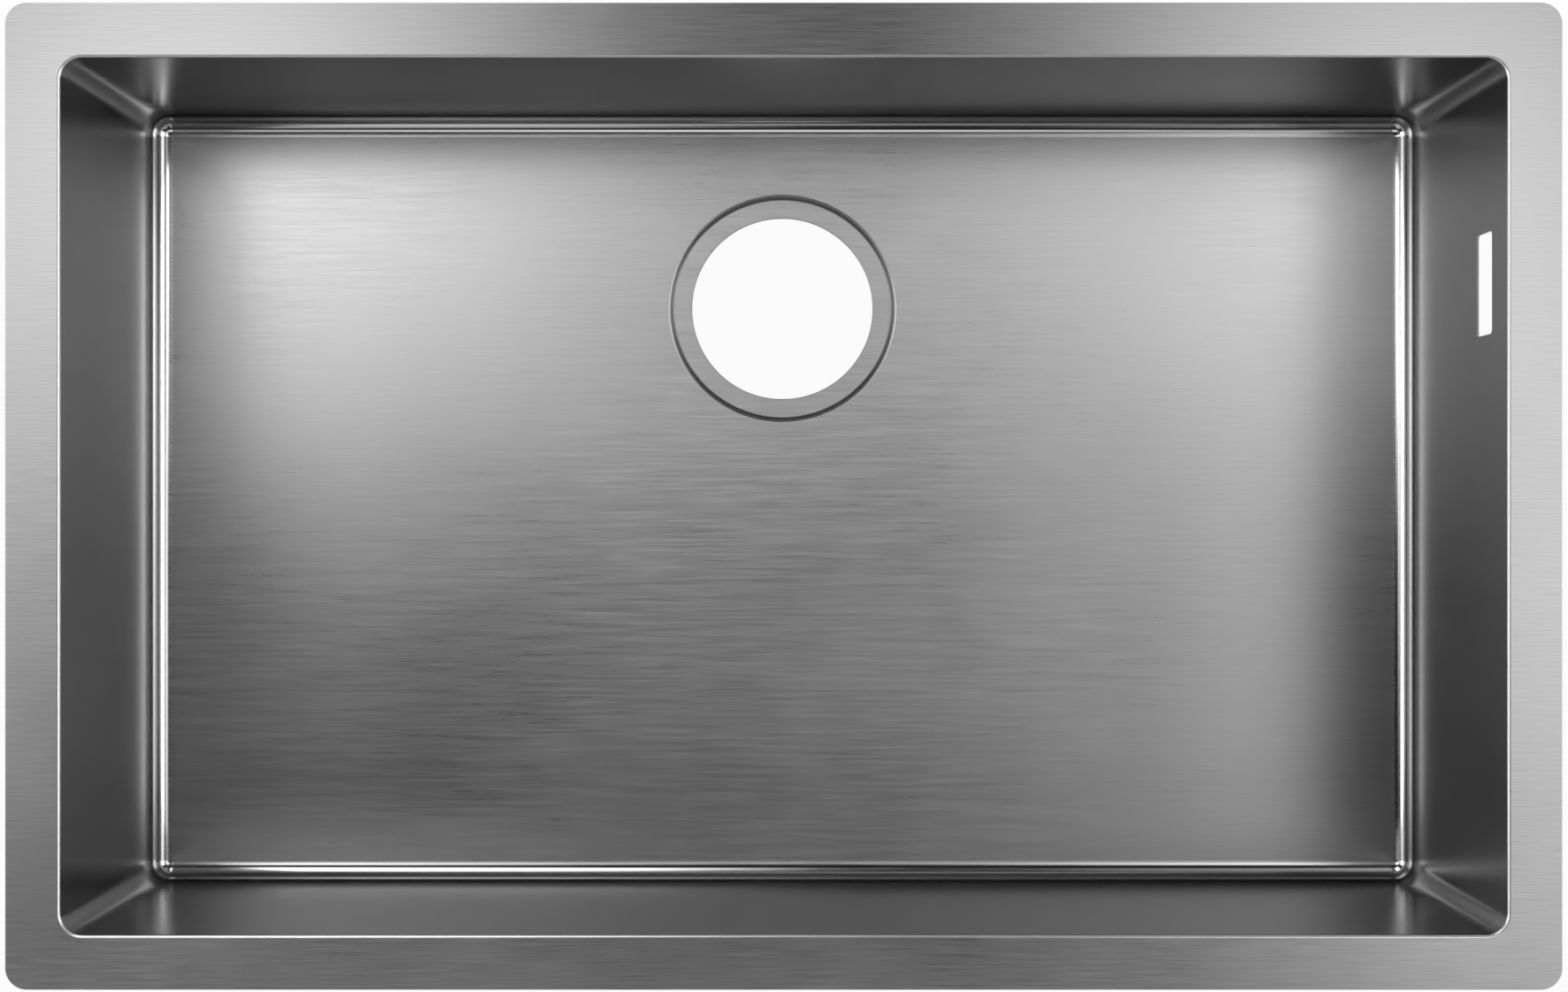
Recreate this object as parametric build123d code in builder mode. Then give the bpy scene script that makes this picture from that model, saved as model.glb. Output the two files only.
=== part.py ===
"""Undermount kitchen sink, in millimetres.

One bowl is drawn from a single stainless sheet: a flat rim all round, four upright walls, a
flat floor, a pressed recess with the drain hole near the back wall and an overflow slot
high in the right wall. Rubber pads glued under the floor and round the walls deaden its
sound, and the floor pads are also what the sink stands on when it isn't fitted. Studs
welded under the rim carry the clamp straps that hold the sink under a worktop. Each strap
swivels on its stud: stowed, it lies along the wall under the rim, and it swings outwards
past the rim to be screwed to the worktop.

Origin: the middle of the bowl's opening, on the rim's upper face. +X is right, +Y is
towards the back wall, +Z is up.
"""

import os
from math import radians, tan

from build123d import *

# ---- Rim and bowl ----
rim_length = 710.0  # outer edge to outer edge, along X
rim_width = 450.0  # outer edge to outer edge, along Y
rim_flange = 25.0  # flat rim, from its outer edge to the plane of the bowl wall
rim_corner_radius = 10.0
rim_edge_radius = 0.25  # cut edge of the sheet, eased on top
bowl_depth = 190.0  # rim's upper face to the floor's upper face
sheet = 1.0  # stainless sheet
drawn_radius = 10.0  # inside every upright corner and all round the floor
lip_radius = 1.5  # upper side of the bend from the rim down into the wall

# ---- Drain ----
drain_to_back_wall = 100.0  # drain's axis to the wall's inner face
drain_hole_radius = 47.5
drain_edge_radius = 0.4  # the hole's eased upper edge
drain_seat_radius = 57.5  # where the flat seat for the strainer meets the slope
recess_depth = 2.5  # floor to seat
recess_bend = 1.0  # inside radius of both bends of the recess's rim
recess_run = 1.45  # how far the straight slope between the bends runs inwards
recess_margin = 2.0  # flat floor kept round the recess where the two are joined

# ---- Overflow slot in the right wall ----
overflow_length = 48.0  # along Y
overflow_height = 27.0
overflow_to_back_wall = 100.0  # slot's middle to the wall's inner face
overflow_drop = 40.7  # rim's upper face to the slot's middle
overflow_corner = 2.5

# ---- Sound pads ----
stand_clearance = 0.5  # the drain recess stays this far above what the sink stands on
floor_pad_inset = 8.0  # from the start of the floor's outer bend
floor_pad_gap = 8.0  # between the pads beside the drain and the front pad
floor_pad_drain_gap = 11.0  # round the drain recess, room for the strainer's nut
wall_pad_thickness = 3.0
wall_pad_drop = 75.0  # rim's upper face to the pad's top edge
wall_pad_lift = 20.0  # floor's upper face to the pad's bottom edge
wall_pad_end_inset = 60.0  # from the end of the wall
pad_corner_radius = 8.0
pad_edge_radius = 0.8  # free edge of a moulded pad

# ---- Studs and clamp straps ----
stud_radius = 2.5
stud_length = 10.5  # from the rim's underside
stud_offset = 12.0  # wall's outer face to the stud's axis
stud_tip_chamfer = 0.5
clamp_end_inset = 90.0  # end of a long wall to the outer studs
strap_thickness = 2.0
strap_width = 18.0
strap_reach = 47.0  # stud's axis to the middle of the far end's arc
strap_gap = 0.3  # running gap above and below a strap
strap_hole_gap = 0.3  # round the stud, on the radius
strap_slot_width = 6.5
strap_slot_length = 16.0
strap_slot_inset = 4.0  # far end's arc middle back to the slot's middle
strap_edge = 0.3  # broken edges of the stamping

# ---- Washers and wing nuts ----
thread_gap = 0.1  # between a stud and what is screwed or threaded on it
washer_radius = 7.5
washer_thickness = 1.2
spring_washer_radius = 4.6
spring_washer_thickness = 1.4
spring_washer_split = 0.8
nut_radius = 4.8
nut_height = 5.0
wing_thickness = 1.8
wing_centre = 7.2  # from the stud's axis
wing_drop = 5.2  # nut's upper face to the wing's middle
wing_half_length = 3.4
wing_half_height = 4.6
wing_lean = 25.0  # degrees, outwards from upright

# ---- Worked out from the sizes above ----
bowl_length = rim_length - 2 * rim_flange
bowl_width = rim_width - 2 * rim_flange
wall_x = bowl_length / 2 + sheet  # outer face of the end walls
wall_y = bowl_width / 2 + sheet  # outer face of the long walls
floor_underside = -bowl_depth - sheet
drain_y = bowl_width / 2 - drain_to_back_wall
overflow_y = bowl_width / 2 - overflow_to_back_wall
recess_top_radius = drain_seat_radius + recess_run  # where the floor's plane meets the slope
recess_outer_radius = recess_top_radius + recess_bend + sheet + recess_margin
floor_pad_thickness = recess_depth + stand_clearance

strap_top = -sheet - strap_gap
strap_underside = strap_top - strap_thickness
washer_top = strap_underside - strap_gap
spring_washer_top = washer_top - washer_thickness
nut_top = spring_washer_top - spring_washer_thickness

stud_x = wall_x + stud_offset
stud_y = wall_y + stud_offset
outer_stud_x = bowl_length / 2 - clamp_end_inset

# Each clamp: its stud's place, and the way its stowed strap points, in degrees from +X.
clamps = {
    "back_left": (-outer_stud_x, stud_y, 0),
    "back_middle": (0, stud_y, 0),
    "back_right": (outer_stud_x, stud_y, 180),
    "front_left": (-outer_stud_x, -stud_y, 0),
    "front_middle": (0, -stud_y, 0),
    "front_right": (outer_stud_x, -stud_y, 180),
    "left_end": (-stud_x, 0, 90),
    "right_end": (stud_x, 0, -90),
}
stud_points = [(x, y) for x, y, heading in clamps.values()]

os.makedirs("parts", exist_ok=True)


def save(piece, label):
    """Name a finished piece and write it under that name."""
    piece.label = label
    export_step(piece, f"parts/{label}.step")


# ---- The space inside the bowl: a block whose upright and floor edges are rounded ----
with BuildPart() as bowl_space:
    with BuildSketch(Plane.XY.offset(-bowl_depth)):
        Rectangle(bowl_length, bowl_width)
    extrude(amount=bowl_depth)
    upright_edges = bowl_space.edges().filter_by(Axis.Z)
    floor_edges = bowl_space.edges().group_by(Axis.Z)[0]
    fillet(upright_edges + floor_edges, radius=drawn_radius)

# ---- The drain recess: the sheet steps down from the floor to a flat ring ----
# The section is drawn in the plane through the drain's axis, radius to the right. Both
# faces of the sheet turn about the same centres, so the wall keeps its thickness.
slope = Vector(recess_run, recess_depth).get_angle(Vector(1, 0))
underside_shift = sheet * tan(radians(slope) / 2)
seat_z = -bowl_depth - recess_depth
with BuildPart() as drain_recess:
    with BuildSketch(Plane.XZ):
        with BuildLine():
            FilletPolyline(
                (recess_outer_radius, -bowl_depth),
                (recess_top_radius, -bowl_depth),
                (drain_seat_radius, seat_z),
                (drain_hole_radius, seat_z),
                radius=(recess_bend + sheet, recess_bend),
            )
            Line((drain_hole_radius, seat_z), (drain_hole_radius, seat_z - sheet))
            FilletPolyline(
                (drain_hole_radius, seat_z - sheet),
                (drain_seat_radius + underside_shift, seat_z - sheet),
                (recess_top_radius + underside_shift, floor_underside),
                (recess_outer_radius, floor_underside),
                radius=(recess_bend + sheet, recess_bend),
            )
            Line((recess_outer_radius, floor_underside), (recess_outer_radius, -bowl_depth))
        make_face()
    revolve(axis=Axis.Z)
    hole_edge = drain_recess.edges().filter_by(GeomType.CIRCLE)
    hole_edge = hole_edge.filter_by(lambda edge: edge.radius == drain_hole_radius)
    fillet(hole_edge.sort_by(Axis.Z)[-1], radius=drain_edge_radius)

# ---- Bowl shell: rim, walls, floor, drain and overflow, one pressed sheet ----
with BuildPart() as bowl_shell:
    with BuildSketch(Plane.XY.offset(floor_underside)):
        Rectangle(2 * wall_x, 2 * wall_y)
    extrude(amount=bowl_depth)
    upright_edges = bowl_shell.edges().filter_by(Axis.Z)
    floor_edges = bowl_shell.edges().group_by(Axis.Z)[0]
    fillet(upright_edges + floor_edges, radius=drawn_radius + sheet)
    with BuildSketch(Plane.XY.offset(-sheet)):
        RectangleRounded(rim_length, rim_width, rim_corner_radius)
    extrude(amount=sheet)
    rim_underside = bowl_shell.faces().filter_by(Plane.XY).sort_by(Axis.Z)[-2]
    fillet(rim_underside.inner_wires()[0].edges(), radius=lip_radius - sheet)

    add(bowl_space.part, mode=Mode.SUBTRACT)
    rim_top = bowl_shell.faces().filter_by(Plane.XY).sort_by(Axis.Z)[-1]
    fillet(rim_top.inner_wires()[0].edges(), radius=lip_radius)
    rim_top = bowl_shell.faces().filter_by(Plane.XY).sort_by(Axis.Z)[-1]
    fillet(rim_top.outer_wire().edges(), radius=rim_edge_radius)

    with BuildSketch(Plane.XY.offset(-bowl_depth)):
        with Locations((0, drain_y)):
            Circle(recess_outer_radius)
    extrude(amount=-sheet, mode=Mode.SUBTRACT)
    with Locations((0, drain_y, 0)):
        add(drain_recess.part)

    with BuildSketch(Plane.YZ.offset(bowl_length / 2)):
        with Locations((overflow_y, -overflow_drop)):
            RectangleRounded(overflow_length, overflow_height, overflow_corner)
    extrude(amount=sheet, mode=Mode.SUBTRACT)
save(bowl_shell.part, "bowl_shell")

# ---- Floor pads: one each side of the drain, one over the rest of the floor ----
pad_end_x = wall_x - drawn_radius - sheet - floor_pad_inset
pad_end_y = wall_y - drawn_radius - sheet - floor_pad_inset
drain_clear = recess_outer_radius + floor_pad_drain_gap
front_pad_back = drain_y - drain_clear
side_pad_front = front_pad_back + floor_pad_gap
floor_pads = {
    "floor_pad_left": ((-pad_end_x, side_pad_front), (-drain_clear, pad_end_y)),
    "floor_pad_right": ((drain_clear, side_pad_front), (pad_end_x, pad_end_y)),
    "floor_pad_front": ((-pad_end_x, -pad_end_y), (pad_end_x, front_pad_back)),
}
for pad_name, ((left, front), (right, back)) in floor_pads.items():
    with BuildPart() as floor_pad:
        with BuildSketch(Plane.XY.offset(floor_underside)):
            with Locations(((left + right) / 2, (front + back) / 2)):
                RectangleRounded(right - left, back - front, pad_corner_radius)
        extrude(amount=-floor_pad_thickness)
        fillet(floor_pad.edges().group_by(Axis.Z)[0], radius=pad_edge_radius)
    save(floor_pad.part, pad_name)

# ---- Wall pads: one on each wall, below the overflow ----
# Each plane lies on a wall's outer face, x along the wall, y up.
wall_pad_height = bowl_depth - wall_pad_drop - wall_pad_lift
wall_pad_middle = -(wall_pad_drop + wall_pad_height / 2)
long_pad = bowl_length - 2 * wall_pad_end_inset
short_pad = bowl_width - 2 * wall_pad_end_inset
wall_pads = {
    "wall_pad_front": (Plane.XZ.offset(wall_y), long_pad),
    "wall_pad_back": (Plane.XZ.rotated((0, 0, 180)).offset(wall_y), long_pad),
    "wall_pad_left": (Plane.XZ.rotated((0, 0, -90)).offset(wall_x), short_pad),
    "wall_pad_right": (Plane.XZ.rotated((0, 0, 90)).offset(wall_x), short_pad),
}
for pad_name, (wall_plane, pad_length) in wall_pads.items():
    with BuildPart() as wall_pad:
        with BuildSketch(wall_plane):
            with Locations((0, wall_pad_middle)):
                RectangleRounded(pad_length, wall_pad_height, pad_corner_radius)
        extrude(amount=wall_pad_thickness)
        free_face = wall_pad.faces().sort_by(Axis(wall_plane.origin, wall_plane.z_dir))[-1]
        fillet(free_face.edges(), radius=pad_edge_radius)
    save(wall_pad.part, pad_name)

# ---- Studs, welded to the rim's underside ----
with BuildPart() as weld_studs:
    with BuildSketch(Plane.XY.offset(-sheet)):
        with Locations(*stud_points):
            Circle(stud_radius)
    extrude(amount=-stud_length)
    chamfer(weld_studs.edges().group_by(Axis.Z)[0], length=stud_tip_chamfer)
save(weld_studs.part, "weld_studs")

# ---- Clamp straps: a hole turns on the stud, a slot near the far end takes the screw ----
for place, (x, y, heading) in clamps.items():
    along_wall = Vector(1, 0, 0).rotate(Axis.Z, heading)
    with BuildPart() as clamp_strap:
        with BuildSketch(Plane(origin=(x, y, strap_top), x_dir=along_wall, z_dir=(0, 0, 1))):
            with Locations((strap_reach / 2, 0)):
                SlotCenterToCenter(strap_reach, strap_width)
            Circle(stud_radius + strap_hole_gap, mode=Mode.SUBTRACT)
            with Locations((strap_reach - strap_slot_inset, 0)):
                SlotOverall(strap_slot_length, strap_slot_width, mode=Mode.SUBTRACT)
        extrude(amount=-strap_thickness)
        for flat_face in clamp_strap.faces().filter_by(Plane.XY):
            chamfer(flat_face.outer_wire().edges(), length=strap_edge)
    save(clamp_strap.part, f"clamp_strap_{place}")

# ---- Flat washers under the straps ----
with BuildPart() as flat_washers:
    with BuildSketch(Plane.XY.offset(washer_top)):
        with Locations(*stud_points):
            Circle(washer_radius)
            Circle(stud_radius + thread_gap, mode=Mode.SUBTRACT)
    extrude(amount=-washer_thickness)
save(flat_washers.part, "flat_washers")

# ---- Split spring washers, which keep the nuts from shaking loose ----
with BuildPart() as spring_washers:
    with BuildSketch(Plane.XY.offset(spring_washer_top)):
        with Locations(*stud_points):
            Circle(spring_washer_radius)
            Circle(stud_radius + thread_gap, mode=Mode.SUBTRACT)
            Rectangle(
                spring_washer_radius,
                spring_washer_split,
                align=(Align.MIN, Align.CENTER),
                mode=Mode.SUBTRACT,
            )
    extrude(amount=-spring_washer_thickness)
save(spring_washers.part, "spring_washers")

# ---- Wing nuts: a round barrel with two leaning ears, hanging below the washers ----
with BuildPart() as wing_nut:
    with BuildSketch(Plane.XY.offset(nut_top)):
        Circle(nut_radius)
    extrude(amount=-nut_height)
    with BuildSketch(Plane.XZ):
        for side in (-1, 1):
            with Locations(Location((side * wing_centre, nut_top - wing_drop), side * wing_lean)):
                Ellipse(wing_half_length, wing_half_height)
    extrude(amount=wing_thickness / 2, both=True)
    with BuildSketch(Plane.XY.offset(nut_top)):
        Circle(stud_radius + thread_gap)
    extrude(amount=-2 * nut_height, mode=Mode.SUBTRACT)

with BuildPart() as wing_nuts:
    for x, y, heading in clamps.values():
        with Locations(Location((x, y, 0), (0, 0, heading))):
            add(wing_nut.part)
save(wing_nuts.part, "wing_nuts")
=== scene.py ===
# %% [markdown]
# # A brushed steel kitchen sink
# This script is a lesson in cells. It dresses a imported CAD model: the frame holds every
# piece at its real size and place, in metres, and the script makes what the camera sees
# around it. The camera and the sizes come first, then the bowl, then the small fixings
# under its rim, and last the finishes and the studio.

# %% Load the frame
from math import cos, pi, radians, sin, tan

import bmesh
import bpy
from mathutils import Matrix, Vector


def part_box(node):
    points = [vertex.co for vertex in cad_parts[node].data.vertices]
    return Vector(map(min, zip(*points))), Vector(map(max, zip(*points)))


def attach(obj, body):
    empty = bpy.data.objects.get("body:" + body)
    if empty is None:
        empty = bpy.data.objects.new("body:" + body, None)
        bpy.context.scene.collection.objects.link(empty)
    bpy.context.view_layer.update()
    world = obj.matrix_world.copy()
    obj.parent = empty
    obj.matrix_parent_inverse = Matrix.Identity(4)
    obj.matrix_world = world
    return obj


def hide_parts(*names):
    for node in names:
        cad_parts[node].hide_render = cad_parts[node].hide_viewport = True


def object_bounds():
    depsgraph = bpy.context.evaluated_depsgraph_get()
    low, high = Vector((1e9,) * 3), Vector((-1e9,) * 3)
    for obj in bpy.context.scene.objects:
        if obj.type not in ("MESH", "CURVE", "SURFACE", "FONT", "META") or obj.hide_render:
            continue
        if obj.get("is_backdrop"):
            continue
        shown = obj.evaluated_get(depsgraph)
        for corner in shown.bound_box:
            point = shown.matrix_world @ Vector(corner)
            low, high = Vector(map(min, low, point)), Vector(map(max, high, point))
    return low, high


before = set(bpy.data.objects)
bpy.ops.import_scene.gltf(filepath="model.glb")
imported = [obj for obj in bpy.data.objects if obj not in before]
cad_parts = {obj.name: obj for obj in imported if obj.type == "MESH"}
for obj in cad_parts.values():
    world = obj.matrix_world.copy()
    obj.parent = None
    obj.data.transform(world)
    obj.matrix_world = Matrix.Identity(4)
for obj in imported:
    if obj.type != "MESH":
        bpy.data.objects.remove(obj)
cad_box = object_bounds()
scene = bpy.context.scene
MM = 0.001

# %% [markdown]
# ## Camera
# The photograph looks straight down into the bowl. Such a view could be made with an
# orthographic camera, but the walls show on all four sides, so the lens is close: the
# camera hangs 1.23 m above the rim, nearly over the bowl's middle. The small shifts slide
# the picture in its frame without turning the camera, so upright walls stay upright.

# %% Hang the camera over the bowl
CAMERA_PLACE = (-0.0048, -0.0080, 1.228)
LENS, FILM_WIDTH = 61.86, 36
PICTURE_SHIFT = (0.00686, 0.01134)
SEES_AS_FAR_AS = 20

camera_data = bpy.data.cameras.new("camera")
camera_data.lens = LENS
camera_data.sensor_width = FILM_WIDTH
camera_data.shift_x, camera_data.shift_y = PICTURE_SHIFT
camera_data.clip_end = SEES_AS_FAR_AS
camera = bpy.data.objects.new("camera", camera_data)
camera.location = CAMERA_PLACE
scene.collection.objects.link(camera)
scene.camera = camera
print("camera", CAMERA_PLACE[2], "m above the rim")

# %% [markdown]
# ## Sizes
# The outer sizes come from the frame. The ones inside it, such as the rim's width and the
# bend radii, are the sink's own, so they are named here once. The origin is the middle of
# the bowl's opening, on the rim, and z runs down into the bowl.

# %% Name the bowl's sizes
shell_low, shell_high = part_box("bowl_shell")
RIM_X, RIM_Y = shell_high.x, shell_high.y
RIM_FLANGE = 25 * MM
SHEET = 1 * MM
BOWL_X = RIM_X - RIM_FLANGE
BOWL_Y = RIM_Y - RIM_FLANGE
DRAWN_RADIUS = 10 * MM
LIP_RADIUS = 1.5 * MM
RIM_EDGE = 0.25 * MM

RECESS_DEPTH = 2.5 * MM
SEAT_RADIUS = 57.5 * MM
RECESS_RUN = 1.45 * MM
RECESS_BEND = 1 * MM
HOLE_RADIUS = 47.5 * MM
HOLE_EDGE = 0.4 * MM
FLOOR_Z = shell_low.z + SHEET + RECESS_DEPTH
SEAT_Z = FLOOR_Z - RECESS_DEPTH
DRAIN_Y = BOWL_Y - 100 * MM

OVERFLOW_Y = BOWL_Y - 100 * MM
OVERFLOW_Z = -40.7 * MM
OVERFLOW_HALF_LENGTH = 24 * MM
OVERFLOW_HALF_HEIGHT = 13.5 * MM
OVERFLOW_CORNER = 2.5 * MM
print("bowl", round(2 * BOWL_X / MM), "x", round(2 * BOWL_Y / MM), "x", round(-FLOOR_Z / MM), "mm")

# %% [markdown]
# ## The bowl
# The real bowl is one sheet of stainless steel, drawn into a box with round edges. It could
# be cut out of a block with booleans, but reflections in polished metal show every uneven
# face, so the way here is the press's own: start from a box, round its edges with a bevel,
# pull the rim out of its mouth, push the drain's recess into its floor, and only then give
# the skin the thickness of the sheet. Its parts are found by where they are, and two small
# distances say how near a place a point must be to count as there.

# %% Helpers that pick mesh parts
CLOSE = 0.01 * MM
NEAR = 0.1 * MM


def edges_where(bm, test):
    """The edges whose two ends both pass the test."""
    return [edge for edge in bm.edges if all(test(vert.co) for vert in edge.verts)]


def verts_in(geometry):
    """Only the vertices of what an operator returns."""
    return [item for item in geometry if isinstance(item, bmesh.types.BMVert)]


def edges_in(geometry):
    """Only the edges of what an operator returns."""
    return [item for item in geometry if isinstance(item, bmesh.types.BMEdge)]


def each_once(items):
    """The items without repeats, in their own order, which a set wouldn't keep."""
    return list(dict.fromkeys(items))


# %% Helpers that round and finish a mesh
SHARP_FROM = 35


def round_edges(bm, edges, radius, segments):
    """Bevels the edges with a true arc."""
    bmesh.ops.bevel(
        bm, geom=edges, offset=radius, offset_type="OFFSET", segments=segments,
        profile=0.5, affect="EDGES", material=-1, clamp_overlap=False,
    )


def object_from(bm, name):
    """Turns a bmesh into an object at the origin, smooth where it is round."""
    mesh = bpy.data.meshes.new(name)
    bm.to_mesh(mesh)
    bm.free()
    mesh.shade_smooth()
    mesh.set_sharp_from_angle(angle=radians(SHARP_FROM))
    piece = bpy.data.objects.new(name, mesh)
    scene.collection.objects.link(piece)
    weighted = piece.modifiers.new("flat faces stay flat", "WEIGHTED_NORMAL")
    weighted.keep_sharp = True
    print(name, len(mesh.polygons), "faces")
    return piece


# %% Draw the box
DRAWN_STEPS = 16


def at_mouth(co):
    """As high as the rim."""
    return co.z > -NEAR


def drawn_box():
    """The bowl's inner skin: an open box with its upright and floor edges rounded."""
    bm = bmesh.new()
    bmesh.ops.create_cube(bm, size=1.0)
    bmesh.ops.scale(bm, vec=(2 * BOWL_X, 2 * BOWL_Y, -FLOOR_Z), verts=bm.verts)
    bmesh.ops.translate(bm, vec=(0, 0, FLOOR_Z / 2), verts=bm.verts)
    lid = [face for face in bm.faces if face.normal.z > 0.5]
    bmesh.ops.delete(bm, geom=lid, context="FACES_ONLY")
    mouth = set(edges_where(bm, at_mouth))
    to_round = [edge for edge in bm.edges if edge not in mouth]
    round_edges(bm, to_round, DRAWN_RADIUS, DRAWN_STEPS)
    return bm


# %% Pull the rim out of the mouth
LIP_STEPS = 6


def pull_rim(bm):
    """A flat rim all round, and the round lip where it turns down into the walls."""
    mouth = edges_where(bm, at_mouth)
    verts = verts_in(bmesh.ops.extrude_edge_only(bm, edges=mouth)["geom"])
    for side_x in (-1, 1):
        for side_y in (-1, 1):
            corner = [v for v in verts if v.co.x * side_x > 0 and v.co.y * side_y > 0]
            outwards = (side_x * RIM_FLANGE, side_y * RIM_FLANGE, 0)
            bmesh.ops.translate(bm, vec=outwards, verts=corner)
    lip = [edge for edge in mouth if edge.is_valid]
    round_edges(bm, lip, LIP_RADIUS, LIP_STEPS)


# %% [markdown]
# ### Holes in a flat face
# A hole needs a ring of faces round it. Knife cuts take a small cell out of the big flat
# face, and the cell's edge is then joined to the outline of the hole. A boolean would do
# it in one step, but it leaves long thin faces that run right across the floor.

# %% Cut a cell out of a flat face
def face_at(bm, point):
    """The flat face that holds the point."""
    bm.normal_update()
    for face in bm.faces:
        off_plane = abs((point - face.calc_center_median()).dot(face.normal))
        if off_plane < CLOSE and bmesh.geometry.intersect_face_point(face, point):
            return face
    raise ValueError("no face there")


def cut_cell(bm, centre, half_size):
    """Knife cuts along both sides of the centre; returns the face between them."""
    for axis in range(3):
        for side in (-1, 1):
            if half_size[axis] == 0:
                continue
            face = face_at(bm, centre)
            along = Vector((0, 0, 0))
            along[axis] = 1
            bmesh.ops.bisect_plane(
                bm, geom=[face, *face.edges, *face.verts],
                plane_co=centre + side * half_size[axis] * along, plane_no=side * along,
            )
    return face_at(bm, centre)


# %% [markdown]
# ### The drain
# The recess is a round step in the floor, and its section is two arcs with a short slope
# between them. A spin would turn that section into a separate ring. Here the cell's edge
# is drawn in to a circle and extruded ring by ring down the section, so that the recess
# and the floor are one skin with no seam.

# %% The recess's section
BEND_STEPS = 8


def recess_section():
    """Radius and height along the recess, from the floor in to the edge of the hole."""
    slope = Vector((RECESS_RUN, RECESS_DEPTH)).angle(Vector((1, 0)))
    outer_bend = RECESS_BEND + SHEET
    outer_r = SEAT_RADIUS + RECESS_RUN + outer_bend * tan(slope / 2)
    inner_r = SEAT_RADIUS - RECESS_BEND * tan(slope / 2)
    turns = [slope * step / BEND_STEPS for step in range(BEND_STEPS + 1)]
    down = [(outer_r - outer_bend * sin(a), FLOOR_Z - outer_bend * (1 - cos(a))) for a in turns]
    turns.reverse()
    out = [(inner_r + RECESS_BEND * sin(a), SEAT_Z + RECESS_BEND * (1 - cos(a))) for a in turns]
    return down + out + [(HOLE_RADIUS, SEAT_Z)]


section = recess_section()
print("recess from radius", round(section[0][0] / MM, 2), "in to", round(section[-1][0] / MM, 2), "mm")

# %% Push the recess into the floor
CELL_HALF = 75 * MM
RING_POINTS = 128


def draw_in(bm, cell, centre, radius):
    """Divides a square cell's sides, opens it and draws its edge in to an even circle."""
    bmesh.ops.subdivide_edges(bm, edges=list(cell.edges), cuts=RING_POINTS // 4 - 1)
    square = list(cell.edges)
    bmesh.ops.delete(bm, geom=[cell], context="FACES_ONLY")
    drawn = bmesh.ops.extrude_edge_only(bm, edges=square)["geom"]
    for vert in verts_in(drawn):
        across = (vert.co - centre).xy
        quarter = round(Vector((1, 0)).angle_signed(across) / (pi / 2)) * pi / 2
        across.rotate(Matrix.Rotation(quarter, 2))
        angle = across.y / across.x * pi / 4 - quarter
        vert.co = centre + radius * Vector((cos(angle), sin(angle), 0))
    return edges_in(drawn)


def press_drain(bm):
    """Draws a ring out of the floor and extrudes it down the recess's section."""
    centre = Vector((0, DRAIN_Y, FLOOR_Z))
    cell = cut_cell(bm, centre, (CELL_HALF, CELL_HALF, 0))
    ring = draw_in(bm, cell, centre, section[0][0])
    for (r_from, z_from), (r_to, z_to) in zip(section, section[1:]):
        pulled = bmesh.ops.extrude_edge_only(bm, edges=ring)["geom"]
        ring = edges_in(pulled)
        shrink = (r_to / r_from, r_to / r_from, 1)
        bmesh.ops.scale(bm, vec=shrink, space=Matrix.Translation(-centre), verts=verts_in(pulled))
        bmesh.ops.translate(bm, vec=(0, 0, z_to - z_from), verts=verts_in(pulled))


# %% [markdown]
# ### The overflow slot
# The slot is an upright rounded rectangle high in the right wall. Its outline is a plate
# whose four corners are rounded with a vertex bevel, and the flat wall between the cell
# and the outline is filled with triangles, which a flat face hides.

# %% Cut the overflow slot
SLOT_MARGIN = 8 * MM
SLOT_CORNER_STEPS = 6


def cut_overflow(bm):
    """Opens the slot in the right wall."""
    centre = Vector((BOWL_X, OVERFLOW_Y, OVERFLOW_Z))
    half_size = (0, OVERFLOW_HALF_LENGTH + SLOT_MARGIN, OVERFLOW_HALF_HEIGHT + SLOT_MARGIN)
    cell = cut_cell(bm, centre, half_size)
    upright = Matrix.Rotation(pi / 2, 4, "Y")
    plate = bmesh.ops.create_grid(bm, x_segments=1, y_segments=1, size=1, matrix=upright)["verts"]
    bmesh.ops.scale(bm, vec=(1, OVERFLOW_HALF_LENGTH, OVERFLOW_HALF_HEIGHT), verts=plate)
    bmesh.ops.translate(bm, vec=centre, verts=plate)
    rounded = bmesh.ops.bevel(
        bm, geom=plate, offset=OVERFLOW_CORNER, offset_type="OFFSET",
        segments=SLOT_CORNER_STEPS, profile=0.5, affect="VERTICES", material=-1,
    )
    outline = each_once(edge for vert in rounded["verts"] for edge in vert.link_edges)
    inside = each_once(face for edge in outline for face in edge.link_faces)
    bmesh.ops.delete(bm, geom=inside, context="FACES_ONLY")
    cell_edges = list(cell.edges)
    bmesh.ops.delete(bm, geom=[cell], context="FACES_ONLY")
    bmesh.ops.triangle_fill(bm, edges=cell_edges + outline, use_beauty=True)


# %% [markdown]
# ### The sheet's thickness
# Everything so far is the sheet's upper side. Solidify adds the lower side one millimetre
# behind it, with every bend a millimetre wider, as in real sheet. The lower side is never
# brushed, so it gets a second material slot here, while it is easy to tell apart. The cut
# edges are eased a little, because a perfectly sharp edge never catches the light.

# %% Thicken the sheet and ease its cut edges
INSIDE, OUTSIDE = 0, 1


def thicken(bm):
    """Adds the underside, away from the bowl, in its own material slot."""
    bmesh.ops.recalc_face_normals(bm, faces=bm.faces)
    facing_up = sum(face.normal.z * face.calc_area() for face in bm.faces)
    if facing_up < 0:
        bmesh.ops.reverse_faces(bm, faces=bm.faces)
    upper_side = set(bm.faces)
    bmesh.ops.solidify(bm, geom=bm.faces, thickness=SHEET)
    for face in bm.faces:
        face.material_index = INSIDE if face in upper_side else OUTSIDE


# %% Find the cut edges
OUTERMOST = 0.97


def on_rim_edge(co):
    """On the rim's upper face, near its outline."""
    return co.z > -CLOSE and max(abs(co.x) / RIM_X, abs(co.y) / RIM_Y) > OUTERMOST


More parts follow.
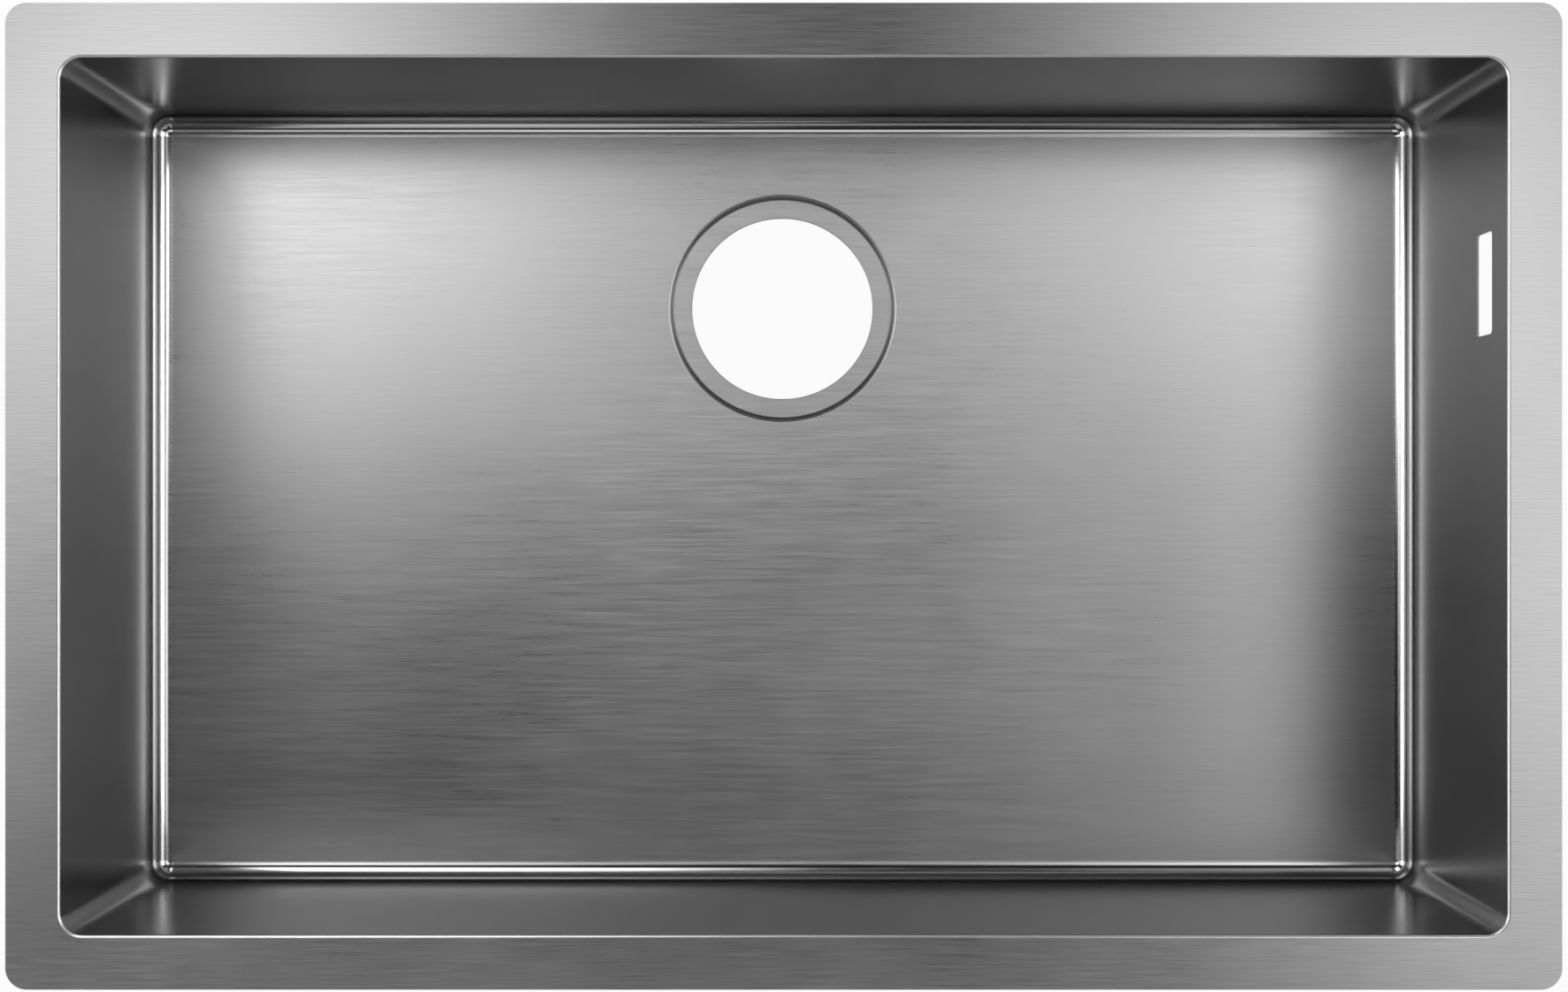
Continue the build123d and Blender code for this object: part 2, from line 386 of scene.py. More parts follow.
def on_hole_edge(co):
    """On the seat's upper face, round the hole."""
    off_axis = Vector((co.x, co.y - DRAIN_Y)).length
    return abs(co.z - SEAT_Z) < CLOSE and off_axis < HOLE_RADIUS + NEAR


def folded(edges):
    """Only the edges where two faces meet at a right angle, or nearly."""
    return [edge for edge in edges if edge.calc_face_angle(0) > pi / 3]


# %% Make the bowl
EASED_STEPS = 3

bm = drawn_box()
pull_rim(bm)
press_drain(bm)
cut_overflow(bm)
thicken(bm)
round_edges(bm, folded(edges_where(bm, on_rim_edge)), RIM_EDGE, EASED_STEPS)
round_edges(bm, folded(edges_where(bm, on_hole_edge)), HOLE_EDGE, EASED_STEPS)
bowl = object_from(bm, "bowl")
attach(bowl, "sink")
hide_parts("bowl_shell")

# %% [markdown]
# ## The fixings under the rim
# Eight studs are welded to the rim's underside, and each holds a swinging strap with a flat
# washer, a split spring washer and a wing nut. One of each is made at the stud's axis and
# then copied to all eight places, turned the way its strap points.

# %% Name the clamps' places
STUD_OFFSET = 12 * MM
CLAMP_END_INSET = 90 * MM
STUD_X = BOWL_X + SHEET + STUD_OFFSET
STUD_Y = BOWL_Y + SHEET + STUD_OFFSET
OUTER_STUD_X = BOWL_X - CLAMP_END_INSET
CLAMPS = {
    "back_left": (-OUTER_STUD_X, STUD_Y, 0),
    "back_middle": (0, STUD_Y, 0),
    "back_right": (OUTER_STUD_X, STUD_Y, 180),
    "front_left": (-OUTER_STUD_X, -STUD_Y, 0),
    "front_middle": (0, -STUD_Y, 0),
    "front_right": (OUTER_STUD_X, -STUD_Y, 180),
    "left_end": (-STUD_X, 0, 90),
    "right_end": (STUD_X, 0, -90),
}
print(len(CLAMPS), "clamps; the end studs are", round(STUD_X / MM), "mm from the middle")

# %% [markdown]
# ### Turned shapes
# Studs, washers and nut barrels are turned on a lathe, and a spin is Blender's lathe: an
# outline of radius and height goes once round the z axis. A spring washer and a thread
# also climb as they turn, which the spin's own dvec does.

# %% Helpers that turn outlines
SAME_POINT = 0.001 * MM


def outline_in(bm, points, closed):
    """Draws radius and height points in the x-z plane and returns their edges."""
    verts = [bm.verts.new((radius, 0, height)) for radius, height in points]
    pairs = list(zip(verts, verts[1:]))
    if closed:
        pairs.append((verts[-1], verts[0]))
    return [bm.edges.new(pair) for pair in pairs]


def turn_full(bm, points, closed, steps):
    """Spins an outline once round the axis and closes its seam and poles."""
    edges = outline_in(bm, points, closed)
    verts = each_once(vert for edge in edges for vert in edge.verts)
    bmesh.ops.spin(
        bm, geom=verts + edges, cent=(0, 0, 0), axis=(0, 0, 1), angle=2 * pi,
        steps=steps, use_merge=True,
    )
    bmesh.ops.remove_doubles(bm, verts=bm.verts, dist=SAME_POINT)


def turn_climbing(bm, points, turns, steps_per_turn, climb_per_turn):
    """Spins a closed outline along a helix and caps both of its ends."""
    edges = outline_in(bm, points, closed=True)
    verts = each_once(vert for edge in edges for vert in edge.verts)
    steps = round(turns * steps_per_turn)
    last = bmesh.ops.spin(
        bm, geom=verts + edges, cent=(0, 0, 0), axis=(0, 0, 1), angle=2 * pi * turns,
        steps=steps, dvec=(0, 0, climb_per_turn * turns / steps),
    )["geom_last"]
    bmesh.ops.contextual_create(bm, geom=edges)
    bmesh.ops.contextual_create(bm, geom=edges_in(last))


def chamfered_ring(inner, outer, bottom, top, ease):
    """The section of a ring with all four edges broken."""
    return [
        (inner + ease, bottom), (outer - ease, bottom),
        (outer, bottom + ease), (outer, top - ease),
        (outer - ease, top), (inner + ease, top),
        (inner, top - ease), (inner, bottom + ease),
    ]


# %% Copy a fixing to every clamp
def at_every_clamp(single, name, node):
    """Copies one finished bmesh to all the clamps and joins the copies to one piece."""
    bmesh.ops.recalc_face_normals(single, faces=single.faces)
    pattern = bpy.data.meshes.new(name + "_pattern")
    single.to_mesh(pattern)
    single.free()
    joined = bmesh.new()
    for x, y, heading in CLAMPS.values():
        before = set(joined.verts)
        joined.from_mesh(pattern)
        copy = [vert for vert in joined.verts if vert not in before]
        turn = Matrix.Rotation(radians(heading), 3, "Z")
        bmesh.ops.rotate(joined, cent=(0, 0, 0), matrix=turn, verts=copy)
        bmesh.ops.translate(joined, vec=(x, y, 0), verts=copy)
    bpy.data.meshes.remove(pattern)
    piece = object_from(joined, name)
    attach(piece, "sink")
    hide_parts(node)
    return piece


# %% [markdown]
# ### Threaded studs
# A weld stud is a short screw with a small collar where the weld flowed out. A displaced
# cylinder could fake its thread, but from below the ridge is plain to see, so it is a
# real one: a triangle that climbs one pitch in each turn round the core.

# %% Make the studs
STUD_RADIUS = 2.5 * MM
STUD_CORE = 2.1 * MM
STUD_TOP = -SHEET
STUD_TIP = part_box("weld_studs")[0].z
STUD_CHAMFER = 0.5 * MM
COLLAR_RADIUS = 3.1 * MM
COLLAR_HEIGHT = 0.5 * MM
COLLAR_SLOPE = 0.2 * MM
PITCH = 0.8 * MM
FLANK, CREST = 0.4 * PITCH, 0.1 * PITCH
RIDGE_ROOT = STUD_CORE - 0.1 * MM
THREAD_STEPS = 24

single = bmesh.new()
turn_full(single, [
    (0, STUD_TOP),
    (COLLAR_RADIUS, STUD_TOP),
    (COLLAR_RADIUS - COLLAR_SLOPE, STUD_TOP - COLLAR_HEIGHT / 2),
    (STUD_CORE, STUD_TOP - COLLAR_HEIGHT),
    (STUD_CORE, STUD_TIP + STUD_CHAMFER),
    (STUD_CORE - STUD_CHAMFER, STUD_TIP),
    (0, STUD_TIP),
], closed=False, steps=THREAD_STEPS)
thread_bottom = STUD_TIP + STUD_CHAMFER
thread_turns = (STUD_TOP - COLLAR_HEIGHT - PITCH - thread_bottom) / PITCH
ridge = [
    (RIDGE_ROOT, thread_bottom),
    (STUD_RADIUS, thread_bottom + FLANK),
    (STUD_RADIUS, thread_bottom + FLANK + CREST),
    (RIDGE_ROOT, thread_bottom + FLANK + CREST + FLANK),
]
turn_climbing(single, ridge, thread_turns, THREAD_STEPS, PITCH)
studs = at_every_clamp(single, "studs", "weld_studs")
print("thread", round(thread_turns, 1), "turns of", PITCH / MM, "mm")

# %% [markdown]
# ### Washers
# The flat washer is stamped, so its edges are slightly broken. The spring washer is a
# length of square wire wound once round: its two ends stand apart and at different
# heights, which a flat ring with a notch would not show.

# %% Make the flat washers
THREAD_GAP = 0.1 * MM
WASHER_RADIUS = 7.5 * MM
WASHER_EDGE = 0.15 * MM
WASHER_STEPS = 48

washer_low, washer_high = (corner.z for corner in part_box("flat_washers"))
bore = STUD_RADIUS + THREAD_GAP
single = bmesh.new()
ring = chamfered_ring(bore, WASHER_RADIUS, washer_low, washer_high, WASHER_EDGE)
turn_full(single, ring, closed=True, steps=WASHER_STEPS)
washers = at_every_clamp(single, "flat_washers_stamped", "flat_washers")

# %% Make the spring washers
SPRING_RADIUS = 4.6 * MM
SPRING_SPLIT = 0.8 * MM
SPRING_RISE = 0.25 * MM
SPRING_EDGE = 0.2 * MM

spring_low, spring_high = (corner.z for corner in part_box("spring_washers"))
single = bmesh.new()
wire = chamfered_ring(bore, SPRING_RADIUS, spring_low, spring_high - SPRING_RISE, SPRING_EDGE)
split_angle = SPRING_SPLIT / SPRING_RADIUS
spring_turns = 1 - split_angle / (2 * pi)
turn_climbing(single, wire, spring_turns, WASHER_STEPS, SPRING_RISE)
half_split = Matrix.Rotation(split_angle / 2, 3, "Z")
bmesh.ops.rotate(single, cent=(0, 0, 0), matrix=half_split, verts=single.verts)
springs = at_every_clamp(single, "spring_washers_split", "spring_washers")

# %% [markdown]
# ### Wing nuts
# A wing nut is turned with two ears to grip. The barrel is a spin with a cone and a small
# shoulder. An ear is a flat oval, extruded to its thickness and bevelled round its edge,
# then leaned outwards until its foot is inside the barrel's wall.

# %% Shape an ear
NUT_TOP = spring_low
EAR_THICKNESS = 1.8 * MM
EAR_CENTRE = 7.2 * MM
EAR_DROP = 5.2 * MM
EAR_HALF_LENGTH = 3.4 * MM
EAR_HALF_HEIGHT = 4.6 * MM
EAR_LEAN = 25
EAR_ROUND = 0.6 * MM
EAR_ROUND_STEPS = 4
EAR_POINTS = 40


def add_ear(bm, side):
    """One ear of the nut, on the side given by -1 or 1."""
    disc = bmesh.ops.create_circle(bm, cap_ends=True, segments=EAR_POINTS, radius=1)["verts"]
    bmesh.ops.scale(bm, vec=(EAR_HALF_LENGTH, EAR_HALF_HEIGHT, 1), verts=disc)
    face = disc[0].link_faces[0]
    pulled = bmesh.ops.extrude_face_region(bm, geom=[face], use_keep_orig=True)["geom"]
    bmesh.ops.translate(bm, vec=(0, 0, EAR_THICKNESS), verts=verts_in(pulled))
    ear = disc + verts_in(pulled)
    bmesh.ops.translate(bm, vec=(0, 0, -EAR_THICKNESS / 2), verts=ear)
    flat = set(ear)
    own = [edge for edge in bm.edges if set(edge.verts) <= flat]
    rims = [edge for edge in own if abs(edge.verts[0].co.z - edge.verts[1].co.z) < NEAR]
    rounded = bmesh.ops.bevel(
        bm, geom=rims, offset=EAR_ROUND, offset_type="OFFSET", segments=EAR_ROUND_STEPS,
        profile=0.5, affect="EDGES", material=-1,
    )["verts"]
    ear = [vert for vert in each_once(ear + list(rounded)) if vert.is_valid]
    upright = Matrix.Rotation(pi / 2, 3, "X")
    lean = Matrix.Rotation(radians(side * EAR_LEAN), 3, "Y")
    bmesh.ops.rotate(bm, cent=(0, 0, 0), matrix=lean @ upright, verts=ear)
    bmesh.ops.translate(bm, vec=(side * EAR_CENTRE, 0, NUT_TOP - EAR_DROP), verts=ear)


# %% Make the wing nuts
NUT_RADIUS = 4.8 * MM
NUT_HEIGHT = 5 * MM
NUT_TAPER = 0.7 * MM
NUT_SHOULDER = 0.8 * MM
NUT_EASE = 0.3 * MM
NUT_STEPS = 40

single = bmesh.new()
nut_low = NUT_TOP - NUT_HEIGHT
turn_full(single, [
    (bore + NUT_EASE, NUT_TOP),
    (NUT_RADIUS - NUT_EASE, NUT_TOP),
    (NUT_RADIUS, NUT_TOP - NUT_EASE),
    (NUT_RADIUS, NUT_TOP - NUT_SHOULDER),
    (NUT_RADIUS - NUT_TAPER, nut_low + NUT_EASE),
    (NUT_RADIUS - NUT_TAPER - NUT_EASE, nut_low),
    (bore + NUT_EASE, nut_low),
    (bore, nut_low + NUT_EASE),
    (bore, NUT_TOP - NUT_EASE),
], closed=True, steps=NUT_STEPS)
for side in (-1, 1):
    add_ear(single, side)
nuts = at_every_clamp(single, "wing_nuts_cast", "wing_nuts")

# %% [markdown]
# ## Helpers for materials
# A material is a small graph of nodes. It could be built line by line, with one line to add
# each node and one for each link, but the effect would drown in them. These helpers add a
# node and join its sockets in one call, so each material reads as a short list of what it
# does.

# %% Add nodes and join them
def new_material(name):
    """A material, its node tree and its Principled shader."""
    material = bpy.data.materials.new(name)
    material.use_nodes = True
    return material, material.node_tree, material.node_tree.nodes["Principled BSDF"]


def put(tree, node, name, value):
    """Sets one input, found by its name or number, or links a socket to it."""
    socket = node.inputs[int(name)] if name.isdigit() else node.inputs[name]
    if isinstance(value, bpy.types.NodeSocket):
        tree.links.new(value, socket)
    else:
        socket.default_value = value


def add(tree, kind, settings=None, **inputs):
    """Adds a node. Settings are its properties; inputs are values or other sockets."""
    node = tree.nodes.new(kind)
    for key, value in (settings or {}).items():
        setattr(node, key, value)
    for name, value in inputs.items():
        put(tree, node, name.replace("_", " "), value)
    return node


# %% Calculate with sockets
def calc(tree, operation, *values):
    """A Math node on numbers or sockets."""
    node = tree.nodes.new("ShaderNodeMath")
    node.operation = operation
    for index, value in enumerate(values):
        put(tree, node, str(index), value)
    return node.outputs[0]


def calc_vector(tree, operation, *values):
    """A Vector Math node on vectors or sockets; returns the node's outputs."""
    node = tree.nodes.new("ShaderNodeVectorMath")
    node.operation = operation
    for index, value in enumerate(values):
        put(tree, node, str(index), value)
    return node.outputs


def remap(tree, value, from_min, from_max, to_min, to_max):
    """Turns one range of a value into another, with soft ends."""
    node = add(
        tree, "ShaderNodeMapRange", {"interpolation_type": "SMOOTHSTEP"}, Value=value,
        From_Min=from_min, From_Max=from_max, To_Min=to_min, To_Max=to_max,
    )
    return node.outputs["Result"]


def weigh(tree, first, share, second):
    """The share of the first value, and the second for the rest."""
    part = calc(tree, "MULTIPLY", first, share)
    return calc(tree, "ADD", part, calc(tree, "MULTIPLY", second, 1 - share))


def product(tree, *masks):
    """One mask for where all of these are."""
    together = masks[0]
    for mask in masks[1:]:
        together = calc(tree, "MULTIPLY", together, mask)
    return together


def largest(tree, *values):
    """The largest of the values; of masks, where any of them is."""
    winner = values[0]
    for value in values[1:]:
        winner = calc(tree, "MAXIMUM", winner, value)
    return winner


# %% Choose between colours and between directions
def grey(level):
    """An even grey, as a colour."""
    return (level, level, level, 1)


def blend(tree, factor, first, second):
    """The first colour where the factor is 0, the second where it is 1."""
    node = add(tree, "ShaderNodeMix", {"data_type": "RGBA"})
    put(tree, node, "0", factor)
    put(tree, node, "6", first)
    put(tree, node, "7", second)
    return node.outputs[2]


def pick_vector(tree, factor, first, second):
    """The first vector where the factor is 0, the second where it is 1."""
    node = add(tree, "ShaderNodeMix", {"data_type": "VECTOR"})
    put(tree, node, "0", factor)
    put(tree, node, "4", first)
    put(tree, node, "5", second)
    return node.outputs[1]


# %% Give the shader its surface
def object_position(tree):
    """The place on the object, in metres, which no pose or view changes."""
    return add(tree, "ShaderNodeTexCoord").outputs["Object"]


def surface(tree, shader, colour, roughness, relief, strength, depth):
    """Joins the colour, the roughness and a relief of the given depth to the shader."""
    bump = add(tree, "ShaderNodeBump", Strength=strength, Distance=depth, Height=relief)
    put(tree, shader, "Base Color", colour)
    put(tree, shader, "Roughness", roughness)
    put(tree, shader, "Normal", bump.outputs["Normal"])


# %% [markdown]
# ## Grain and patches
# Two effects return in nearly every finish here. Brushing and rolling leave fine parallel
# lines, and handling and the press leave soft patches. Each is one node group with named
# inputs, so the same effect can run at another scale on another metal. The lines are
# noise that is stretched by giving it a different count per metre along each axis.

# %% Helpers for node groups
def new_group(name, inputs, output):
    """A shader node group; inputs map a socket's name to its type."""
    group = bpy.data.node_groups.new(name, "ShaderNodeTree")
    for socket, kind in inputs.items():
        group.interface.new_socket(socket, in_out="INPUT", socket_type=kind)
    group.interface.new_socket(output, in_out="OUTPUT", socket_type="NodeSocketFloat")
    return group, group.nodes.new("NodeGroupInput").outputs, group.nodes.new("NodeGroupOutput")


def use_group(tree, group, **inputs):
    """Places a group in a material with its own values; returns its one output."""
    node = tree.nodes.new("ShaderNodeGroup")
    node.node_tree = group
    for name, value in inputs.items():
        put(tree, node, name.replace("_", " "), value)
    return node.outputs[0]


def soft_range(group, level, contrast, output):
    """Stretches a noise about its middle; a higher contrast needs a smaller part of it."""
    half = calc(group, "DIVIDE", 0.5, contrast)
    low = calc(group, "SUBTRACT", 0.5, half)
    high = calc(group, "ADD", 0.5, half)
    group.links.new(remap(group, level, low, high, 0.0, 1.0), output)


# %% Build the two groups
lines_group, given, result = new_group("stretched_lines", {
    "Position": "NodeSocketVector", "Per Metre": "NodeSocketVector", "Contrast": "NodeSocketFloat",
}, "Lines")
stretched = calc_vector(lines_group, "MULTIPLY", given["Position"], given["Per Metre"])["Vector"]
noise = add(lines_group, "ShaderNodeTexNoise", Vector=stretched, Scale=1.0, Detail=3.0, Roughness=0.6)
soft_range(lines_group, noise.outputs["Fac"], given["Contrast"], result.inputs["Lines"])

patches_group, given, result = new_group("soft_patches", {
    "Position": "NodeSocketVector", "Per Metre": "NodeSocketFloat", "Contrast": "NodeSocketFloat",
}, "Patches")
noise = add(
    patches_group, "ShaderNodeTexNoise", Vector=given["Position"], Scale=given["Per Metre"],
    Detail=4.0, Roughness=0.55,
)
soft_range(patches_group, noise.outputs["Fac"], given["Contrast"], result.inputs["Patches"])
print("groups", lines_group.name, patches_group.name)

# %% [markdown]
# ## Brushed steel
# The bowl's face is brushed along its length: the floor, the rim and the long walls have
# lines along X, the end walls along Y. Plain roughness would blur every reflection alike,
# but in the photograph the bowl's highlights are drawn out along the lines, and the rim's
# across them. So the shader is anisotropic, and its tangent points the way they are drawn
# out. Metal seen at a flat angle turns bright, and a grey tint on that keeps the walls as
# dark as they are in the photograph.
#
# The finish isn't the same all over the sheet. An image could say where it changes, but
# place and direction say it too, and they stay true at any size: a mask is a number that
# is 1 in a region and 0 outside it. The first masks find the parts that were never
# brushed, which are dull and painted dark as shade, the lip, painted bright as a
# highlight, and the floor near the back and end walls, painted brighter as a reflection.

# %% Find the bowl's regions
STEP_RADIUS = SEAT_RADIUS + RECESS_RUN / 2
STEP_HALF = 1.3 * MM
STEP_FADE = 0.2 * MM
PAST_SKIN = 0.02 * MM
SLOT_BELOW = -5 * MM
LIP_BELOW = -0.03 * MM
LIP_FADE = 0.3 * LIP_RADIUS
MARGIN = 45 * MM


def unbrushed_mask(tree, position, place):
    """The recess's step and the cut edges of the hole and of the overflow slot: dull, and painted dark
    as shade.
    """
    from_drain = calc_vector(tree, "SUBTRACT", position, (0, DRAIN_Y, 0))["Vector"]
    from_axis = calc_vector(tree, "MULTIPLY", from_drain, (1, 1, 0))["Vector"]
    radius = calc_vector(tree, "LENGTH", from_axis)["Value"]
    off_step = calc(tree, "ABSOLUTE", calc(tree, "SUBTRACT", radius, STEP_RADIUS))
    on_step = remap(tree, off_step, STEP_HALF - STEP_FADE, STEP_HALF + STEP_FADE, 1.0, 0.0)
    hole_cut = calc(tree, "LESS_THAN", radius, HOLE_RADIUS + HOLE_EDGE)
    past_wall = calc(tree, "GREATER_THAN", place["X"], BOWL_X + PAST_SKIN)
    below_rim = calc(tree, "LESS_THAN", place["Z"], SLOT_BELOW)
    return largest(tree, on_step, hole_cut, product(tree, past_wall, below_rim))


def lip_mask(tree, height):
    """The round lip between the flat rim and the walls, painted bright as a highlight."""
    above_wall = remap(tree, height, -LIP_RADIUS, LIP_FADE - LIP_RADIUS, 0.0, 1.0)
    below_rim = calc(tree, "LESS_THAN", height, LIP_BELOW)
    return product(tree, above_wall, below_rim)


def margin_mask(tree, place, facing_up):
    """The floor near the walls, growing from the front to the back: a painted reflection."""
    off_x, off_y = calc(tree, "ABSOLUTE", place["X"]), calc(tree, "ABSOLUTE", place["Y"])
    near_end = remap(tree, off_x, BOWL_X - MARGIN, BOWL_X - DRAWN_RADIUS, 0.0, 1.0)
    near_side = remap(tree, off_y, BOWL_Y - MARGIN, BOWL_Y - DRAWN_RADIUS, 0.0, 1.0)
    at_back = remap(tree, place["Y"], -BOWL_Y / 2, BOWL_Y / 2, 0.0, 1.0)
    return product(tree, largest(tree, near_end, near_side), facing_up, at_back)


# %% [markdown]
# ### Lines
# The lines are the first node group, with about a thousand lines to the metre across the
# grain and few along it. Brushing is never even, so soft patches of pressure decide how
# strongly the lines show, and smaller patches shade the metal a little.

# %% Draw the brushing
ACROSS_GRAIN = 1150
ALONG_GRAIN = 32
PRESSURE_RANGE = (0.2, 0.8)
CONTRAST_RANGE = (1.0, 1.4)
LINES_SHARE = 0.7


def brushing(tree, position, on_end_wall):
    """The lines alone, and the lines with soft patches."""
    pressure = use_group(tree, patches_group, Position=position, Per_Metre=3.5, Contrast=2.6)
    contrast = remap(tree, pressure, *PRESSURE_RANGE, *CONTRAST_RANGE)
    along_x = (ALONG_GRAIN, ACROSS_GRAIN, ACROSS_GRAIN)
    along_y = (ACROSS_GRAIN, ALONG_GRAIN, ACROSS_GRAIN)
    density = pick_vector(tree, on_end_wall, along_x, along_y)
    lines = use_group(tree, lines_group, Position=position, Per_Metre=density, Contrast=contrast)
    patches = use_group(tree, patches_group, Position=position, Per_Metre=9.0, Contrast=1.6)
    return lines, weigh(tree, lines, LINES_SHARE, patches)


# %% [markdown]
# ### Roughness
# The bends are polished smoother than the flats, which is why they carry such sharp streaks
# of light. They grow rougher towards the mouth, and the four upright ones are a little
# rougher all the way down. The cut edges and the recess's step are dull.

# %% Set the roughness by place
WALL_ROUGHNESS = 0.23
FACING_UP_ADDS = 0.07
BEND_ROUGHNESS = 0.13
MOUTH_ADDS = 0.17
MOUTH_FROM, MOUTH_TO = -40 * MM, -5 * MM
UPRIGHT_ADDS = 0.09
TURNING_UP = (0.05, 0.3)
TURNING_FLAT = (0.95, 0.999)
CUT_ROUGHNESS = 0.5
UNEVEN = 0.1


def steel_roughness(tree, height, flatness, facing_up, dull_and_painted_dark, shade):
    """The roughness at a place; flatness is 1 where the surface isn't bent."""
    on_flat = calc(tree, "ADD", calc(tree, "MULTIPLY", facing_up, FACING_UP_ADDS), WALL_ROUGHNESS)
    near_mouth = remap(tree, height, MOUTH_FROM, MOUTH_TO, 0.0, MOUTH_ADDS)
    upright = remap(tree, facing_up, *TURNING_UP, UPRIGHT_ADDS, 0.0)
    on_bend = calc(tree, "ADD", largest(tree, near_mouth, upright), BEND_ROUGHNESS)
    brushed = remap(tree, flatness, *TURNING_FLAT, on_bend, on_flat)
    even = largest(tree, brushed, calc(tree, "MULTIPLY", dull_and_painted_dark, CUT_ROUGHNESS))
    return calc(tree, "ADD", even, calc(tree, "MULTIPLY", calc(tree, "SUBTRACT", shade, 0.5), UNEVEN))


# %% [markdown]
# ### The whole finish
# Now the parts come together. Each region blends its own two greys by the brushing's shade,
# and the masks lay one region over another: the margin's painted reflection over the bowl,
# then the rim, darker as painted shade, the lip's painted highlight, and last the unbrushed
# parts, painted dark as shade.

# %% Make the brushed steel
END_WALL_LIMIT = 0.7
RIM_LIMIT = -0.5 * MM
ALONG_X, ALONG_Y = (1, 0, 0), (0, 1, 0)


def brushed_steel():
    """The upper side of the bowl's sheet."""
    material, tree, shader = new_material("brushed_steel")
    put(tree, shader, "Metallic", 1)
    put(tree, shader, "Anisotropic", 0.5)
    put(tree, shader, "Specular Tint", grey(0.45))

    where = add(tree, "ShaderNodeTexCoord").outputs
    place = add(tree, "ShaderNodeSeparateXYZ", Vector=where["Object"]).outputs
    facing = add(tree, "ShaderNodeSeparateXYZ", Vector=where["Normal"]).outputs
    facing_x = calc(tree, "ABSOLUTE", facing["X"])
    facing_y = calc(tree, "ABSOLUTE", facing["Y"])
    facing_up = calc(tree, "MAXIMUM", facing["Z"], 0.0)
    flatness = largest(tree, facing_x, facing_y, facing["Z"])
    on_end_wall = calc(tree, "GREATER_THAN", facing_x, END_WALL_LIMIT)
    on_rim = calc(tree, "GREATER_THAN", place["Z"], RIM_LIMIT)
    dull_and_painted_dark = unbrushed_mask(tree, where["Object"], place)
    drawn_out_in_y = largest(tree, on_end_wall, on_rim)
    put(tree, shader, "Tangent", pick_vector(tree, drawn_out_in_y, ALONG_X, ALONG_Y))

    lines, shade = brushing(tree, where["Object"], on_end_wall)
    colour = blend(tree, shade, grey(0.42), grey(0.52))
    for mask, region in (
        # painted reflection: the floor near the back and end walls is painted brighter
        (margin_mask(tree, place, facing_up), blend(tree, shade, grey(0.60), grey(0.68))),
        # painted shade: the rim's greys are darker than the bowl's
        (on_rim, blend(tree, shade, grey(0.33), grey(0.50))),
        # painted highlight: the lip is painted bright
        (lip_mask(tree, place["Z"]), grey(0.68)),
        # painted shade: the step and the cut edges are painted dark
        (dull_and_painted_dark, grey(0.28)),
    ):
        colour = blend(tree, mask, colour, region)
    roughness = steel_roughness(tree, place["Z"], flatness, facing_up, dull_and_painted_dark, shade)
    surface(tree, shader, colour, roughness, relief=lines, strength=0.12, depth=0.02 * MM)
    return material


# %% [markdown]
# ## Mill finish
# The underside of the sheet was never brushed. It has the dull, slightly cloudy skin that
# the steel left the rolling mill with, and drawing it over the press has rubbed it. It is
# rougher than the inside, and its faint rolling lines hardly give it a direction.

# %% Make the mill finish
def mill_steel():
    """The underside of the bowl's sheet."""
    material, tree, shader = new_material("mill_steel")
    put(tree, shader, "Metallic", 1)
    position = object_position(tree)
    rolled = use_group(tree, lines_group, Position=position, Per_Metre=(20, 700, 60), Contrast=1.5)
    clouds = use_group(tree, patches_group, Position=position, Per_Metre=14.0, Contrast=2.2)
    specks = use_group(tree, patches_group, Position=position, Per_Metre=420.0, Contrast=1.5)
    colour = blend(tree, weigh(tree, rolled, 0.35, clouds), (0.40, 0.40, 0.405, 1), grey(0.55))
    roughness = remap(tree, clouds, 0.0, 1.0, 0.3, 0.44)
    surface(tree, shader, colour, roughness, relief=specks, strength=0.3, depth=0.02 * MM)
    return material


bowl.data.materials.append(brushed_steel())
bowl.data.materials.append(mill_steel())
print("bowl slots", [slot.name for slot in bowl.material_slots])

# %% [markdown]
# ## Turned stainless and zinc
# Studs and washers are plain stainless, with the faint rings that turning and stamping
# leave. Straps and wing nuts are zinc plated: a bluish bright coat, cloudy where the bath
# was uneven and duller where fingers have been.

# %% Make the finishes of the fixings
def turned_stainless():
    """Studs, flat washers and spring washers."""
    material, tree, shader = new_material("turned_stainless")
    put(tree, shader, "Metallic", 1)
    position = object_position(tree)
    marks = use_group(tree, lines_group, Position=position, Per_Metre=(500, 500, 4000), Contrast=1.6)
    clouds = use_group(tree, patches_group, Position=position, Per_Metre=260.0, Contrast=2.0)
    colour = blend(tree, clouds, grey(0.48), (0.62, 0.61, 0.60, 1))
    roughness = remap(tree, marks, 0.0, 1.0, 0.2, 0.36)
    surface(tree, shader, colour, roughness, relief=marks, strength=0.25, depth=0.01 * MM)
    return material


def zinc_plate():
    """Clamp straps and wing nuts."""
    material, tree, shader = new_material("zinc_plate")
    put(tree, shader, "Metallic", 1)
    position = object_position(tree)
    rolled = use_group(tree, lines_group, Position=position, Per_Metre=(120, 900, 300), Contrast=1.4)
    clouds = use_group(tree, patches_group, Position=position, Per_Metre=110.0, Contrast=2.6)
    specks = use_group(tree, patches_group, Position=position, Per_Metre=900.0, Contrast=1.8)
    colour = blend(tree, clouds, (0.45, 0.48, 0.52, 1), (0.66, 0.67, 0.68, 1))
    roughness = remap(tree, weigh(tree, clouds, 0.6, rolled), 0.0, 1.0, 0.22, 0.46)
    surface(tree, shader, colour, roughness, relief=specks, strength=0.3, depth=0.02 * MM)
    return material


# %% [markdown]
# ### Dress the fixings
# Studs, washers and nuts are new pieces, so they take their material like any mesh. The
# straps are the frame's own nodes: their shape is right, and only their slots change.

# %% Give the fixings their finishes
def dress_node(name, material):
    """Gives a carried-over CAD node its material."""
    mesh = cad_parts[name].data
    mesh.materials.clear()
    mesh.materials.append(material)


